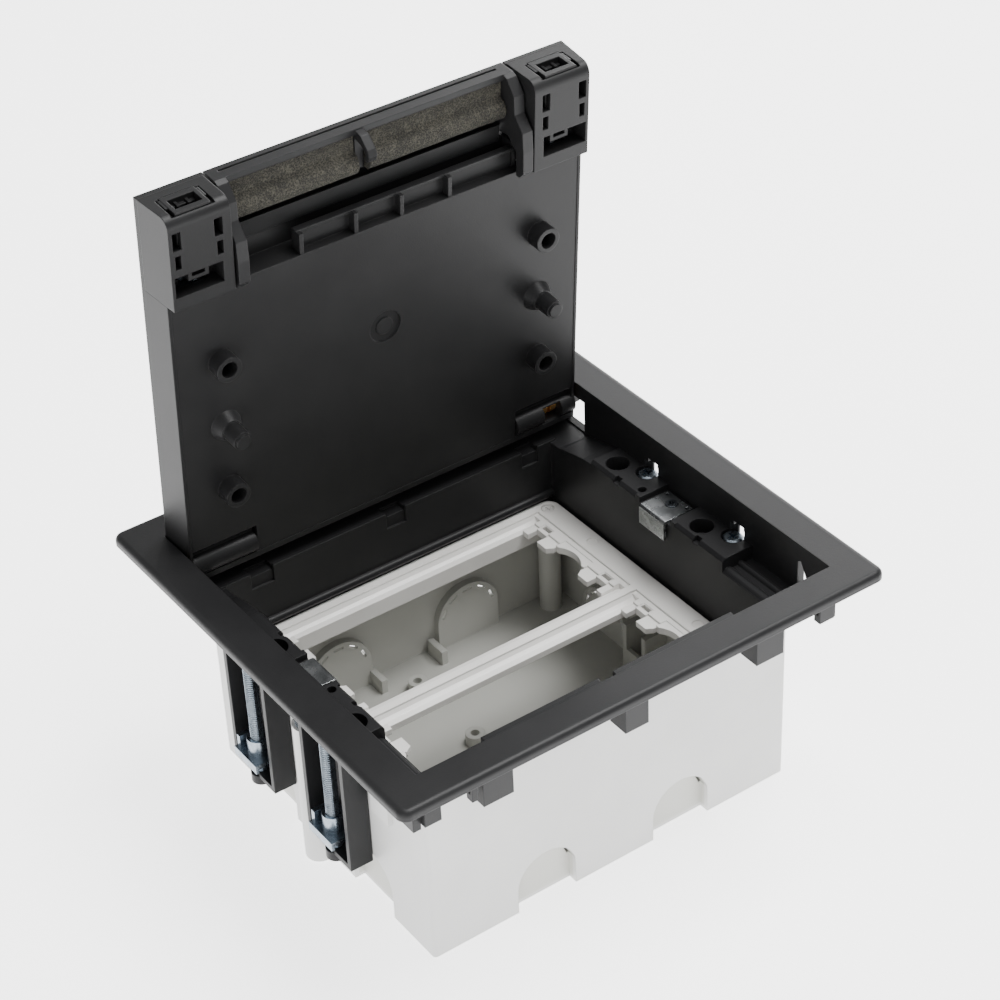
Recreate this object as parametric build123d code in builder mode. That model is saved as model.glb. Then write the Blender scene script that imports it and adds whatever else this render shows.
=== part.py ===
from build123d import *
from math import cos, radians, sin
import os

os.makedirs("parts", exist_ok=True)

# Floor socket box: a surround with a hinged lid, over a white box that holds two rows of sockets.
# X runs along the hinge, Y from the cable side toward the hinge, Z up from the underside of the box.

# surround
open_x = 134.0
open_front, open_back = 61.85, 62.0
flange_side, flange_end = 11.2, 10.3
flange_x = open_x + 2 * flange_side
flange_y = 2 * (open_back + flange_end)
flange_t = 2.9
flange_top = 75.5
wall_up = 2.4
skirt_t = 2.55
skirt_bottom = 67.7
step_top, step_back = 62.9, 54.7
ledge_top = 59.4
ledge_t = 1.8
bead_r = 1.9
bead_up = 1.0
block_top = 63.8
block_in, block_out = 7.0, 30.2
clip_seat = 61.8
pocket_back = 64.0
lip_t = 1.2

# lower tub and socket box
box_x, box_y = 120.6, 106.6
box_wall = 2.0
box_floor = 2.5
rim_sides, rim_ends = 57.3, 60.9
fit = 0.2
tub_wall_x, tub_wall_y = 1.9, 1.2
tub_bottom = 36.5
knock_x = 23.0
knock_y = 24.5
knock_r = 9.6
knock_deep = 3.0
knock_skin = 1.4
column_r = 4.2
column_x = 62.3
column_top = 47.6

# module support frame
module_top = 39.5
module_t = 3.2
module_x, module_y = 110.8, 99.2
bay_x = 93.4
bay_near, bay_far = 4.8, 43.0
pillar_x, pillar_y = 51.6, 46.0

# floor clamps
clamp_x = 65.6
clamp_y = 19.35
clamp_skew = 4.05
screw_r = 2.0
head_r, head_t = 3.0, 1.8
channel_w = 21.1
channel_out = 67.6
channel_in = box_x / 2 + 0.3
channel_wall = 1.6
channel_bottom = 15.2
plate_z = 21.6
plate_t = 1.5
plate_w = 11.4
sleeve_r = 3.1
boss_r = 3.0

# lid
hinge_y, hinge_z = 56.2, 69.5
lean = 4.2
lid_gap = 0.3
lid_x = open_x - 2 * lid_gap
lid_draft = 0.085
lid_free = hinge_y + open_front - 1.05
lid_rear = -4.9
lid_out = -(flange_top - hinge_z)
lid_in = 5.4
skin = 1.5
skirt = 1.9
bay_half = 46.9
block_high = 8.6
block_long = 27.7
block_x0 = bay_half + 0.4
block_l0 = lid_free - block_long
bump_x0 = 44.6
bump_r = 3.4
bump_w = 3.2
pin_r = 2.0
bolt_r = 3.2
bolt_x0 = bump_x0 + 6.0
bolt_step = lid_x / 2 - 4.7
pin_tip = open_x / 2 + wall_up - 0.2
running = 0.05
latch_x = (block_x0 + lid_x / 2) / 2
latch_half = 5.1
latch_low, latch_high = -1.3, 6.9
wing = 0.8
flap_long = 16.8
flap_l, flap_w = lid_free - flap_long, -3.6
flap_gap = 2.9
bay_l0 = flap_l - flap_gap
arm_x = 3.3
hook_x0, hook_x1 = -4.0, -1.4
foam_low = flap_l + 3.6
sill_half = bay_half - 4.0

tub_x = box_x / 2 - box_wall - fit
tub_y = box_y / 2 - box_wall - fit
in_x, in_y = tub_x - tub_wall_x, tub_y - tub_wall_y
ledge_low = ledge_top - ledge_t
wall_x = open_x / 2
outer_x = wall_x + wall_up
clamp_spots = [
    (-1, clamp_y + clamp_skew),
    (-1, -clamp_y + clamp_skew),
    (1, clamp_y - clamp_skew),
    (1, -clamp_y - clamp_skew),
]
clamp_names = ["left_rear", "left_front", "right_rear", "right_front"]

# the lid's own plane: X along the hinge, Y up the lid from the hinge line, Z out of its inner face
lid = Plane(
    origin=(0, hinge_y, hinge_z),
    x_dir=(1, 0, 0),
    z_dir=(0, -cos(radians(lean)), -sin(radians(lean))),
)


def slab(x0, x1, y0, y1, z0, z1, mode=Mode.ADD, base=Plane.XY):
    with BuildSketch(base.offset(min(z0, z1))) as outline:
        with Locations(((x0 + x1) / 2, (y0 + y1) / 2)):
            Rectangle(abs(x1 - x0), abs(y1 - y0))
    extrude(outline.sketch, amount=abs(z1 - z0), mode=mode)


def post(x, y, r, z0, z1, mode=Mode.ADD, base=Plane.XY):
    with BuildSketch(base.offset(z0)) as outline:
        with Locations((x, y)):
            Circle(r)
    extrude(outline.sketch, amount=z1 - z0, mode=mode)


def prism(points, x0, x1, mode=Mode.ADD, base=Plane.XY):
    # outline given as (Y, Z) pairs of the base plane, pulled along X
    place = Plane(
        origin=base.from_local_coords((x0, 0, 0)), x_dir=base.y_dir, z_dir=base.x_dir
    )
    with BuildSketch(place) as outline:
        with BuildLine():
            Polyline(*points, close=True)
        make_face()
    extrude(outline.sketch, amount=x1 - x0, mode=mode)


def bar(y, z, r, x0, x1, mode=Mode.ADD, base=Plane.XY):
    place = Plane(
        origin=base.from_local_coords((x0, 0, 0)), x_dir=base.y_dir, z_dir=base.x_dir
    )
    with BuildSketch(place) as outline:
        with Locations((y, z)):
            Circle(r)
    extrude(outline.sketch, amount=x1 - x0, mode=mode)


def rail(points, y0, y1, mode=Mode.ADD):
    # outline given as (X, Z) pairs, pulled along Y
    with BuildSketch(Plane(origin=(0, y0, 0), x_dir=(1, 0, 0), z_dir=(0, -1, 0))) as outline:
        with BuildLine():
            Polyline(*points, close=True)
        make_face()
    extrude(outline.sketch, amount=y0 - y1, mode=mode)


def cross_recess(x, y, top, size, deep, base=Plane.XY):
    with BuildSketch(base.offset(top - deep)) as outline:
        with Locations((x, y)):
            Rectangle(size, size * 0.24)
            Rectangle(size * 0.24, size)
    extrude(outline.sketch, amount=deep + 1, mode=Mode.SUBTRACT)


def arch(plane_at, across, r, straight, inset, deep, mode=Mode.ADD):
    # D-shaped outline standing on its straight foot
    with BuildSketch(plane_at) as outline:
        with BuildLine():
            Polyline(
                (across - r, straight),
                (across - r, inset),
                (across + r, inset),
                (across + r, straight),
            )
            ThreePointArc((across + r, straight), (across, straight + r), (across - r, straight))
        make_face()
    extrude(outline.sketch, amount=deep, mode=mode)


def export(piece, name):
    piece.part.label = name
    export_step(piece.part, f"parts/{name}.step")


# surround frame: flange, skirt, ledges, lower tub walls and the four clamp channels in one moulding
with BuildPart() as surround_frame:
    slab(-flange_x / 2, flange_x / 2, -flange_y / 2, flange_y / 2, flange_top - flange_t, flange_top)
    fillet(surround_frame.edges().filter_by(Axis.Z), radius=3)
    fillet(surround_frame.faces().sort_by(Axis.Z)[-1].edges(), radius=1.7)

    # upper walls under the flange
    front_wall = open_front + skirt_t
    under = flange_top - flange_t + 0.6
    slab(-outer_x, outer_x, -front_wall, -open_front, skirt_bottom, under)
    slab(-outer_x, outer_x, pocket_back, pocket_back + 1.9, ledge_low, under)
    for side in (-1, 1):
        slab(side * wall_x, side * outer_x, -open_front - 0.5, pocket_back + 0.5, ledge_low, under)

    # ledges round the tub
    for side in (-1, 1):
        slab(side * in_x, side * (wall_x + 0.5), -box_y / 2, pocket_back + 0.5, ledge_low, ledge_top)
    slab(-in_x - 0.5, in_x + 0.5, in_y, pocket_back + 0.5, ledge_low, ledge_top)

    # lower walls standing inside the box
    for side in (-1, 1):
        slab(side * in_x, side * tub_x, -tub_y, tub_y, tub_bottom, ledge_top)
    slab(-tub_x, tub_x, in_y, tub_y, tub_bottom, ledge_top + 0.6)
    slab(-tub_x, tub_x, -tub_y, -in_y, tub_bottom, ledge_top)
    # front step below the lid's foam, with a low rib that is split for the hook between the foam strips
    slab(-sill_half, sill_half, -step_back - 1.6, -in_y, step_top - 1.6, step_top)
    slab(-sill_half, sill_half, -tub_y, -in_y, ledge_top - 0.5, step_top)
    for x0, x1 in ((-sill_half, hook_x0 - 1.7), (hook_x1 + 0.5, sill_half - 4.3)):
        slab(x0, x1, -step_back - 1.6, -step_back, step_top - 0.5, block_top)

    # rounded bead along the foot of the hinge wall, just above the white frame
    bar(in_y - 0.1, module_top + 2.0, 1.3, -in_x, in_x)

    # raised blocks on the side ledges, with a lower seat for the spring clip between them
    for side in (-1, 1):
        slab(side * in_x, side * (wall_x + 0.5), -block_out, block_out, ledge_low, clip_seat)
        for end in (-1, 1):
            slab(
                side * in_x,
                side * (wall_x + 0.5),
                end * block_in,
                end * block_out,
                clip_seat,
                block_top,
            )
        # ramp behind the blocks, rounded bead and groove in front of them
        ramp_x = sorted((side * in_x, side * (wall_x + 0.5)))
        prism(
            [
                (block_out - 0.1, ledge_top - 0.5),
                (block_out - 0.1, block_top - 1.2),
                (block_out + 4.0, block_top - 1.6),
                (block_out + 14.0, ledge_top + 0.6),
                (block_out + 17.0, ledge_top - 0.5),
            ],
            *ramp_x,
        )
        for across, r in ((in_x + bead_r, bead_r), (in_x + 6.6, 1.1)):
            high = ledge_top + bead_up - r
            rail(
                [
                    (side * (across + r * cos(radians(a))), high + r * sin(radians(a)))
                    for a in range(0, 181, 20)
                ],
                -box_y / 2 + 2,
                -block_out + 0.1,
            )
        # bevelled inner top edge of the blocks, with small nicks
        edge = in_x - 0.1
        for end in (-1, 1):
            rail(
                [
                    (side * edge, block_top - 1.1),
                    (side * edge, block_top + 0.1),
                    (side * (edge + 1.2), block_top + 0.1),
                ],
                *sorted((end * (block_in + 2.0), end * block_out)),
                Mode.SUBTRACT,
            )
            slab(
                side * edge,
                side * (edge + 1.9),
                end * 17.0,
                end * 19.4,
                block_top - 1.8,
                block_top + 0.1,
                Mode.SUBTRACT,
            )

    # the opening, and the pocket behind the hinge that the lid's rear edge turns in
    slab(-wall_x, wall_x, -open_front, open_back, block_top, flange_top + 1, Mode.SUBTRACT)
    slab(-wall_x, wall_x, open_back - 0.5, pocket_back, ledge_top, flange_top - lip_t, Mode.SUBTRACT)

    # lugs hanging under the front edge
    lug_front = -open_front - 0.1
    lug_x0, lug_x1 = block_x0 - 7.3, block_x0 + 2.0
    for x0, x1, low in (
        (-lug_x1, -lug_x0, 56.4),
        (-4.2, 3.4, 56.4),
        (lug_x0, lug_x1, 56.4),
        (-52.7, -50.9, 59.8),
        (-67.1, -62.1, 59.6),
        (62.1, 67.1, 59.6),
    ):
        slab(x0, x1, -front_wall, lug_front, low, skirt_bottom + 0.4)
    # the three deeper lugs reach back under the closed lid
    for x0, x1 in ((-lug_x1, -lug_x0), (-4.2, 3.4), (lug_x0, lug_x1)):
        slab(x0, x1, lug_front - 0.1, -57.8, 56.4, 64.6)
    for side in (-1, 1):
        slab(side * (block_x0 - 0.4), side * (lug_x1 + 0.3), lug_front, -57.0, 59.6, 66.0, Mode.SUBTRACT)

    # pockets behind the skirt for the latch noses
    for side in (-1, 1):
        slab(
            side * (latch_x - latch_half - wing - 0.4),
            side * (latch_x + latch_half + wing + 0.4),
            -open_front - 1.85,
            -open_front + 0.2,
            hinge_z - latch_high - 0.5,
            hinge_z - latch_low + 0.4,
            Mode.SUBTRACT,
        )

    # clamp channels outside the box, open outward, with a bearing boss under each floor
    for side, yc in clamp_spots:
        half = channel_w / 2
        high = ledge_low + 0.4
        slab(side * channel_in, side * (channel_in + 1.4), yc - half, yc + half, channel_bottom, high)
        for end in (-1, 1):
            slab(
                side * channel_in,
                side * channel_out,
                yc + end * half,
                yc + end * (half - channel_wall),
                channel_bottom,
                high,
            )
        low = channel_bottom
        slab(side * channel_in, side * channel_out, yc - half, yc + half, low, low + 1.6)
        post(side * clamp_x, yc, boss_r, channel_bottom - 2.6, channel_bottom + 0.5)
        # bearing hole in the floor, screw hole and head recess in the ledge
        post(side * clamp_x, yc, screw_r + running, channel_bottom - 1.7, channel_bottom + 3, Mode.SUBTRACT)
        post(side * clamp_x, yc, screw_r + 0.25, ledge_low - 1, block_top + 1, Mode.SUBTRACT)
        post(side * clamp_x, yc, head_r + 0.45, block_top - head_t - 0.15, 66.2, Mode.SUBTRACT)
        slab(
            side * (wall_x - 1.0),
            side * (outer_x + 0.5),
            yc - side * 2.9,
            yc + side * 1.4,
            block_top - head_t - 0.15,
            67.4,
            Mode.SUBTRACT,
        )
        # spare round hole beside each screw
        post(side * 61.6, yc + side * 8.9, 3.5, ledge_top - 0.6, block_top + 1, Mode.SUBTRACT)
    for side in (-1, 1):
        post(side * 59.2, side * 9.6, 1.3, ledge_top, block_top + 1, Mode.SUBTRACT)
        post(side * column_x, 0, 1.4, ledge_low - 1, block_top + 1, Mode.SUBTRACT)

    # notches along the top of the hinge wall, cut through only above the ledge
    for x0, x1 in ((-48.2, -40.8), (-2.6, 4.0), (45.6, 51.4)):
        slab(x0, x1, in_y - 1, in_y + tub_wall_y - 0.5, 54.6, ledge_top + 2, Mode.SUBTRACT)
        slab(x0, x1, in_y - 1, tub_y + 3, ledge_top - 1.0, ledge_top + 2, Mode.SUBTRACT)

    # windows through the side walls, one behind and one in front of the ledge blocks
    for side in (-1, 1):
        x0, x1 = (wall_x - 1, outer_x + 1) if side > 0 else (-outer_x - 1, -wall_x + 1)
        prism(
            [
                (47.4, ledge_top + 0.4),
                (57.2, ledge_top + 0.4),
                (57.2, 63.6),
                (52.8, 67.4),
                (52.8, 70.4),
                (47.4, 70.4),
            ],
            x0,
            x1,
            Mode.SUBTRACT,
        )
        prism(
            [(-55.6, 60.2), (-49.2, 60.2), (-49.2, 69.6), (-50.4, 70.4)],
            x0,
            x1,
            Mode.SUBTRACT,
        )
    # pin holes for the hinge
    bar(hinge_y, hinge_z, pin_r + running, -outer_x - 1, outer_x + 1, Mode.SUBTRACT)
export(surround_frame, "surround_frame")


# socket box: open-topped, with D-shaped cable knockouts low on each wall
def knockouts():
    # plane of each wall seen from outside, with the knockout's place along it and where its arch begins
    walls = (
        ((0, -box_y / 2, 0), (-1, 0, 0), (0, 1, 0), knock_x, 7.5),
        ((0, box_y / 2, 0), (1, 0, 0), (0, -1, 0), knock_x, 11.5),
        ((-box_x / 2, 0, 0), (0, 1, 0), (1, 0, 0), knock_y, 7.5),
        ((box_x / 2, 0, 0), (0, -1, 0), (-1, 0, 0), knock_y, 7.5),
    )
    spots = []
    for origin, along, inward, across, straight in walls:
        for s in (-1, 1):
            spots.append((Plane(origin=origin, x_dir=along, z_dir=inward), s * across, straight))
    return spots


with BuildPart() as socket_box:
    slab(-box_x / 2, box_x / 2, -box_y / 2, box_y / 2, 0, rim_ends)
    fillet(socket_box.edges().filter_by(Axis.Z), radius=1.2)
    slab(
        -box_x / 2 + box_wall,
        box_x / 2 - box_wall,
        -box_y / 2 + box_wall,
        box_y / 2 - box_wall,
        box_floor,
        rim_ends + 1,
        Mode.SUBTRACT,
    )
    for side in (-1, 1):
        edge = box_x / 2 + 1
        slab(side * (edge - 5), side * edge, -box_y / 2 - 1, box_y / 2 + 1, rim_sides, 70, Mode.SUBTRACT)
        front_y = -box_y / 2
        slab(side * (block_x0 - 0.5), side * edge, front_y - 1, front_y + 4, rim_sides, 70, Mode.SUBTRACT)
    slab(-box_x / 2 - 1, box_x / 2 + 1, box_y / 2 - 4, box_y / 2 + 1, rim_sides, 70, Mode.SUBTRACT)
    # each knockout is set back from the outside, on a boss of its own inside
    for face, across, straight in knockouts():
        arch(face, across, knock_r + 1.4, straight, 0, knock_deep + knock_skin)
    for face, across, straight in knockouts():
        arch(face, across, knock_r, straight, -1, knock_deep, Mode.SUBTRACT)
        # broken slits round the knockout, left with narrow bridges
        with BuildSketch(face) as slits:
            for k in (-68, -34, 0, 34, 68):
                with Locations((across, straight)):
                    with PolarLocations(knock_r - 0.4, 1, start_angle=90 + k):
                        Rectangle(0.8, 3.4)
        extrude(slits.sketch, amount=knock_deep + knock_skin + 0.5, mode=Mode.SUBTRACT)
    # screw columns outside each short wall
    for side in (-1, 1):
        post(side * column_x, 0, column_r, 0, column_top)
        post(side * column_x, 0, 1.4, column_top - 12, column_top + 1, Mode.SUBTRACT)
        post(side * column_x, 0, 2.5, column_top - 5, column_top + 1, Mode.SUBTRACT)
        slab(side * (box_x / 2 - 0.5), side * (box_x / 2 + 1.3), side * 28.6, side * 37.0, 36.3, rim_sides)
    # corner pillars under the module frame, hollow for its screws
    for sx in (-1, 1):
        for sy in (-1, 1):
            post(sx * pillar_x, sy * pillar_y, 3.4, box_floor - 0.5, module_top - module_t)
            post(sx * pillar_x, sy * pillar_y, 1.2, 22.0, module_top, Mode.SUBTRACT)
    # side brackets, floor bosses and cable tabs
    for side in (-1, 1):
        slab(side * 50.4, side * (box_x / 2 - 1), -2.6, -0.8, box_floor - 0.5, 20.0)
        slab(side * 50.4, side * (box_x / 2 - 1), 6.4, 8.2, box_floor - 0.5, 20.0)
        slab(side * 50.4, side * 51.9, -2.6, 8.2, box_floor - 0.5, 11.0)
    for x, y in ((-3.4, 8.4), (-3.4, 38.0), (28.0, -8.4), (28.0, -38.0)):
        post(x, y, 2.9, box_floor - 0.5, 6.0)
        post(x, y, 1.3, box_floor, 7.0, Mode.SUBTRACT)
    for x in (-12.0, 9.6):
        slab(x - 1, x + 1, 42.6, 50.4, box_floor - 0.5, 7.4)
        slab(x - 1, x + 1, -50.4, -42.6, box_floor - 0.5, 7.4)
export(socket_box, "socket_box")

# threaded inserts in the screw columns
with BuildPart() as column_inserts:
    for side in (-1, 1):
        post(side * column_x, 0, 2.5, column_top - 5, column_top)
        post(side * column_x, 0, 3.3, column_top, column_top + 0.6)
    for side in (-1, 1):
        post(side * column_x, 0, 1.35, column_top - 6, column_top + 1, Mode.SUBTRACT)
        slab(side * 50, side * box_x / 2, -5, 5, column_top, column_top + 1, Mode.SUBTRACT)
export(column_inserts, "column_inserts")

# screws that hold the box up to the surround, one down each column
with BuildPart() as box_screws:
    for side in (-1, 1):
        post(side * column_x, 0, 1.3, column_top - 9, clip_seat + 0.1)
        post(side * column_x, 0, 1.8, clip_seat, clip_seat + 1.2)
    for side in (-1, 1):
        cross_recess(side * column_x, 0, clip_seat + 1.2, 2.2, 0.8)
export(box_screws, "box_screws")

# spring clips folded over the ledge between its blocks
for side, name in ((-1, "left"), (1, "right")):
    with BuildPart() as ledge_clip:
        clip_t = 1.0
        fold = in_x - 0.3
        slab(side * (fold - clip_t), side * 65.6, -5.6, 5.6, clip_seat, clip_seat + clip_t)
        slab(side * (fold - clip_t), side * fold, -5.6, 5.6, clip_seat - 5.4, clip_seat + 0.2)
        edge = ledge_clip.edges().filter_by(Axis.Y).sort_by(
            lambda e: (e.center() - Vector(side * (fold - clip_t), 0, clip_seat + clip_t)).length
        )[0]
        fillet(edge, radius=0.9)
        post(side * column_x, 0, 1.95, clip_seat - 0.5, clip_seat + 2, Mode.SUBTRACT)
        for y in (-4.4, 4.4):
            post(side * 64.3, y, 0.6, clip_seat - 0.5, clip_seat + 2, Mode.SUBTRACT)
    export(ledge_clip, f"ledge_clip_{name}")

# white module frame: two bays, each for two sockets, with gripping tabs at the bay ends
with BuildPart() as module_frame:
    low = module_top - module_t
    slab(-module_x / 2, module_x / 2, -module_y / 2, module_y / 2, low, module_top)
    fillet(module_frame.edges().filter_by(Axis.Z), radius=4)
    for side in (-1, 1):
        slab(-bay_x / 2, bay_x / 2, side * bay_near, side * bay_far, low - 1, module_top + 1, Mode.SUBTRACT)
    # rails fall away on both sides in a hollow curve, down to the bay edges
    for y, s, run in ((1.3, 1, 3.5), (-1.3, -1, 3.5), (46.3, -1, 3.3), (-46.3, 1, 3.3)):
        prism(
            [
                (y, module_top + 1),
                (y, module_top - 0.5),
                (y + s * run * 0.22, module_top - 1.5),
                (y + s * run * 0.5, module_top - 2.2),
                (y + s * run, module_top - 2.55),
                (y + s * (run + 1), module_top - 2.55),
                (y + s * (run + 1), module_top + 1),
            ],
            -bay_x / 2,
            bay_x / 2,
            Mode.SUBTRACT,
        )
    for y in (-bay_far, bay_far):
        s = 1 if y > 0 else -1
        slab(-bay_x / 2 - 1.5, bay_x / 2 + 1.5, y, y + s * 1.2, low - 4.6, low + 0.5)
    for side in (-1, 1):
        slab(-bay_x / 2, bay_x / 2, side * 3.4, side * bay_near, low - 1.4, low + 0.2)
    # inner band of the end strips, one step lower, then the gripping tabs with a wide scallop between them
    for sx in (-1, 1):
        for sy in (-1, 1):
            top = module_top
            slab(sx * (bay_x / 2 - 0.1), sx * 48.3, sy * 1.3, sy * 46.3, top - 0.7, top + 1, Mode.SUBTRACT)
            for a, b in ((bay_near - 0.2, 7.0), (11.5, 17.2), (30.4, 36.1), (40.6, bay_far + 0.2)):
                slab(sx * 40.2, sx * (bay_x / 2 + 0.5), sy * a, sy * b, low, module_top - 1.4)
                slab(sx * 44.6, sx * (bay_x / 2 + 0.5), sy * a, sy * b, low, module_top - 0.7)
            for a, b in ((6.9, 11.6), (36.0, 40.7)):
                slab(sx * 43.6, sx * (bay_x / 2 + 0.5), sy * a, sy * b, low, module_top - 0.9)
                slab(sx * 45.0, sx * 46.4, sy * (a + 0.6), sy * (b - 0.6), low - 1, top + 1, Mode.SUBTRACT)
            slab(sx * 43.2, sx * (bay_x / 2 + 0.5), sy * 17.0, sy * 30.6, low, module_top - 0.9)
            post(sx * 36.6, sy * 23.8, 8.6, low - 1, module_top + 1, Mode.SUBTRACT)
            post(sx * pillar_x, sy * pillar_y, 2.0, module_top - 1.0, module_top + 1, Mode.SUBTRACT)
            post(sx * pillar_x, sy * pillar_y, 1.25, low - 1, module_top + 1, Mode.SUBTRACT)
            post(sx * 52.2, sy * 24.6, 1.7, module_top - 0.3, module_top + 1, Mode.SUBTRACT)
export(module_frame, "module_frame")

# screws through the module frame into the corner pillars
with BuildPart() as module_screws:
    for sx in (-1, 1):
        for sy in (-1, 1):
            post(sx * pillar_x, sy * pillar_y, 1.15, 26.0, module_top - 0.6)
            post(sx * pillar_x, sy * pillar_y, 1.7, module_top - 1.0, module_top - 0.2)
    for sx in (-1, 1):
        for sy in (-1, 1):
            cross_recess(sx * pillar_x, sy * pillar_y, module_top - 0.2, 2.0, 0.5)
export(module_screws, "module_screws")

# clamp screws and the plates that climb them
for (side, yc), name in zip(clamp_spots, clamp_names):
    with BuildPart() as clamp_screw:
        seat = block_top - head_t - 0.1
        post(side * clamp_x, yc, screw_r, channel_bottom - 1.6, seat + 0.1)
        post(side * clamp_x, yc, head_r, seat, seat + head_t)
        chamfer(clamp_screw.faces().sort_by(Axis.Z)[-1].edges(), length=0.6)
        cross_recess(side * clamp_x, yc, seat + head_t, 3.4, 1.3)
    export(clamp_screw, f"clamp_screw_{name}")
    with BuildPart() as clamp_plate:
        inner = channel_in + 1.4 + 0.5
        half = plate_w / 2
        slab(side * inner, side * 70.2, yc - half, yc + half, plate_z, plate_z + plate_t)
        back = yc - side * half
        slab(side * inner, side * 69.0, back, back + side * plate_t, plate_z, plate_z + 5.2)
        slab(side * 69.2, side * 70.2, yc - half, yc + half, plate_z - 1.2, plate_z + 0.2)
        post(side * clamp_x, yc, sleeve_r, plate_z + plate_t - 0.2, plate_z + 6.6)
        post(side * clamp_x, yc, screw_r + 0.1, plate_z - 2, plate_z + 7, Mode.SUBTRACT)
    export(clamp_plate, f"clamp_plate_{name}")


def draft_sides(l0, l1, sides=(-1, 1)):
    # slice both sides of the lid to a slight taper, narrower on the inner face
    deep = 12 - lid_out
    across = Plane(origin=lid.from_local_coords((0, l0, 0)), x_dir=(1, 0, 0), z_dir=lid.y_dir)
    for side in sides:
        edge = lid_x / 2
        with BuildSketch(across) as cut:
            with BuildLine():
                Polyline(
                    (side * edge, -lid_out),
                    (side * (edge - lid_draft * deep), -12),
                    (side * (edge + 3), -12),
                    (side * (edge + 3), -lid_out),
                    close=True,
                )
            make_face()
        extrude(cut.sketch, amount=l1 - l0, mode=Mode.SUBTRACT)


# lid cover: outer skin, side and rear skirts, and the hinge barrels along its inner rear edge
with BuildPart() as lid_cover:
    slab(-lid_x / 2, lid_x / 2, lid_rear, lid_free, lid_out, lid_out + skin, base=lid)
    for side in (-1, 1):
        slab(side * (lid_x / 2 - skirt), side * lid_x / 2, lid_rear, block_l0, lid_out, lid_in, base=lid)
    slab(-lid_x / 2, lid_x / 2, lid_rear, lid_rear + skirt, lid_out, lid_in, base=lid)
    for side in (-1, 1):
        x0, x1 = (bump_x0, lid_x / 2) if side > 0 else (-lid_x / 2, -bump_x0)
        bar(0, bump_w, bump_r, x0, x1, base=lid)
        slab(x0, x1, lid_rear, 4.2, lid_out + 0.5, 3.4, base=lid)
    draft_sides(lid_rear - 1, lid_free + 1)
    # bevelled rear edge that clears the pocket lip
    prism(
        [(lid_rear - 1, lid_out - 1), (lid_rear + 0.9, lid_out - 1), (lid_rear + 0.9, lid_out),
         (lid_rear, lid_out + 0.9), (lid_rear - 1, lid_out + 0.9)],
        -lid_x / 2 - 1,
        lid_x / 2 + 1,
        Mode.SUBTRACT,
        base=lid,
    )
    # cable bay cut at the free edge, and a finger window over each latch
    slab(-bay_half, bay_half, bay_l0, lid_free + 1, lid_out - 1, lid_out + skin + 1, Mode.SUBTRACT, base=lid)
    for side in (-1, 1):
        slab(
            side * (latch_x - 4.6),
            side * (latch_x + 4.6),
            lid_free - 18.0,
            lid_free - 6.6,
            lid_out - 1,
            lid_out + skin + 0.2,
            Mode.SUBTRACT,
            base=lid,
        )
    # bores for the sliding bolt on the right and the fixed pin on the left
    bar(0, 0, bolt_r + running, bump_x0 + 1.0, bolt_step + 0.2, Mode.SUBTRACT, base=lid)
    bar(0, 0, pin_r + running, bolt_step - 0.5, lid_x / 2 + 1, Mode.SUBTRACT, base=lid)
    bar(0, 0, pin_r, -lid_x / 2 - 1, -bump_x0 - 6.0, Mode.SUBTRACT, base=lid)
    slab(bolt_step - 7.6, bolt_step - 1.4, -2.7, 2.7, 1.6, bump_w + bump_r + 1, Mode.SUBTRACT, base=lid)
export(lid_cover, "lid_cover")

# steel stiffening plate inside the lid
with BuildPart() as lid_stiffener:
    plate_x = lid_x / 2 - 4.7
    slab(-plate_x, plate_x, 6.0, block_l0 - 1.7, lid_out + skin, lid_out + skin + 1.2, base=lid)
    for sx in (-1, 1):
        for l in (18.0, 76.0):
            post(sx * 30, l, 2.4, lid_out, lid_in, Mode.SUBTRACT, base=lid)
export(lid_stiffener, "lid_stiffener")

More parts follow.
